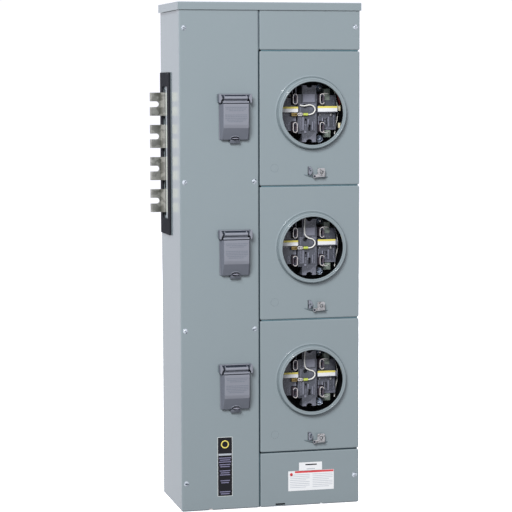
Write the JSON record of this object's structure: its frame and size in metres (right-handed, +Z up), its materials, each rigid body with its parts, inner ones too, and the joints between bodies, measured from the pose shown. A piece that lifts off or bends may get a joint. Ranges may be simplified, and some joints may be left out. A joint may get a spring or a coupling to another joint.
{
  "type": "meter socket enclosure",
  "caption": "Tall grey wall-mounted steel enclosure with round ringless meter openings, hinged breaker lids and cross-bus stubs on the left side.",
  "frame": {"origin": "middle of the bottom end's outer face", "axes": "+Z up, +X to the right of a person who faces the covers, +Y into the wall"},
  "size_m": [0.5207, 0.287, 1.32],
  "materials": {
    "painted_steel": "satin grey powder coat",
    "plated_frame": "galvanised steel sheet",
    "bus_metal": "tin-plated aluminium bar, dull",
    "black_insulation": "moulded black insulation",
    "plated_copper": "tin-plated copper",
    "lid_plastic": "moulded grey plastic",
    "breaker_plastic": "moulded black phenolic",
    "socket_plastic": "moulded dark grey polyester",
    "wire_insulation": "white wire insulation",
    "zinc_plate": "bright zinc plate"
  },
  "bodies": {
    "enclosure": {"enclosure_box": "painted_steel", "rain_cap": "painted_steel", "breaker_cover": "painted_steel", "upper_cover": "painted_steel", "lower_cover": "painted_steel", "meter_frame": "plated_frame", "cross_bus_a": "bus_metal", "cross_bus_b": "bus_metal", "cross_bus_c": "bus_metal", "cross_bus_neutral": "bus_metal", "bus_bezel": "black_insulation", "bus_support_left": "black_insulation", "bus_support_right": "black_insulation", "riser_bar_left": "plated_copper", "riser_bar_right": "plated_copper", "ground_bar": "plated_copper", "lid_frame_1": "lid_plastic", "breaker_case_1": "breaker_plastic", "socket_base_1": "socket_plastic", "line_jaw_left_1": "plated_copper", "line_jaw_right_1": "plated_copper", "load_jaw_left_1": "plated_copper", "load_jaw_right_1": "plated_copper", "neutral_wire_1": "wire_insulation", "lid_frame_2": "lid_plastic", "breaker_case_2": "breaker_plastic", "socket_base_2": "socket_plastic", "line_jaw_left_2": "plated_copper", "line_jaw_right_2": "plated_copper", "load_jaw_left_2": "plated_copper", "load_jaw_right_2": "plated_copper", "neutral_wire_2": "wire_insulation", "lid_frame_3": "lid_plastic", "breaker_case_3": "breaker_plastic", "socket_base_3": "socket_plastic", "line_jaw_left_3": "plated_copper", "line_jaw_right_3": "plated_copper", "load_jaw_left_3": "plated_copper", "load_jaw_right_3": "plated_copper", "neutral_wire_3": "wire_insulation", "cover_screw_top_left": "zinc_plate", "cover_screw_upper_left": "zinc_plate", "cover_screw_upper_seam": "zinc_plate", "cover_screw_lower_left": "zinc_plate", "cover_screw_lower_seam": "zinc_plate", "cover_screw_bottom_left": "zinc_plate", "cover_screw_top_right": "zinc_plate", "cover_screw_bottom_right": "zinc_plate"},
    "lid_1": {"breaker_lid_1": "lid_plastic"},
    "toggle_1": {"breaker_toggle_1": "breaker_plastic"},
    "meter_cover_1": {"meter_cover_1": "painted_steel"},
    "latch_1": {"cover_latch_1": "zinc_plate"},
    "lid_2": {"breaker_lid_2": "lid_plastic"},
    "toggle_2": {"breaker_toggle_2": "breaker_plastic"},
    "meter_cover_2": {"meter_cover_2": "painted_steel"},
    "latch_2": {"cover_latch_2": "zinc_plate"},
    "lid_3": {"breaker_lid_3": "lid_plastic"},
    "toggle_3": {"breaker_toggle_3": "breaker_plastic"},
    "meter_cover_3": {"meter_cover_3": "painted_steel"},
    "latch_3": {"cover_latch_3": "zinc_plate"}
  },
  "joints": [
    {"name": "lid_hinge_1", "type": "hinge", "parent": "enclosure", "child": "lid_1", "pos_m": [-0.0972, -0.142, 1.077], "axis": [-1, 0, 0], "range_deg": [0, 110]},
    {"name": "toggle_pivot_1", "type": "hinge", "parent": "enclosure", "child": "toggle_1", "pos_m": [-0.0972, -0.1205, 1.015], "axis": [0, 0, 1], "range_deg": [0, 30]},
    {"name": "cover_tilt_1", "type": "hinge", "parent": "enclosure", "child": "meter_cover_1", "pos_m": [0.105, -0.13, 1.1935], "axis": [-1, 0, 0], "range_deg": [0, 30]},
    {"name": "latch_turn_1", "type": "hinge", "parent": "meter_cover_1", "child": "latch_1", "pos_m": [0.115, -0.13, 0.869], "axis": [0, 1, 0], "range_deg": [0, 90]},
    {"name": "lid_hinge_2", "type": "hinge", "parent": "enclosure", "child": "lid_2", "pos_m": [-0.0972, -0.142, 0.727], "axis": [-1, 0, 0], "range_deg": [0, 110]},
    {"name": "toggle_pivot_2", "type": "hinge", "parent": "enclosure", "child": "toggle_2", "pos_m": [-0.0972, -0.1205, 0.665], "axis": [0, 0, 1], "range_deg": [0, 30]},
    {"name": "cover_tilt_2", "type": "hinge", "parent": "enclosure", "child": "meter_cover_2", "pos_m": [0.105, -0.13, 0.8435], "axis": [-1, 0, 0], "range_deg": [0, 30]},
    {"name": "latch_turn_2", "type": "hinge", "parent": "meter_cover_2", "child": "latch_2", "pos_m": [0.115, -0.13, 0.519], "axis": [0, 1, 0], "range_deg": [0, 90]},
    {"name": "lid_hinge_3", "type": "hinge", "parent": "enclosure", "child": "lid_3", "pos_m": [-0.0972, -0.142, 0.377], "axis": [-1, 0, 0], "range_deg": [0, 110]},
    {"name": "toggle_pivot_3", "type": "hinge", "parent": "enclosure", "child": "toggle_3", "pos_m": [-0.0972, -0.1205, 0.315], "axis": [0, 0, 1], "range_deg": [0, 30]},
    {"name": "cover_tilt_3", "type": "hinge", "parent": "enclosure", "child": "meter_cover_3", "pos_m": [0.105, -0.13, 0.4935], "axis": [-1, 0, 0], "range_deg": [0, 30]},
    {"name": "latch_turn_3", "type": "hinge", "parent": "meter_cover_3", "child": "latch_3", "pos_m": [0.115, -0.13, 0.169], "axis": [0, 1, 0], "range_deg": [0, 90]}
  ]
}
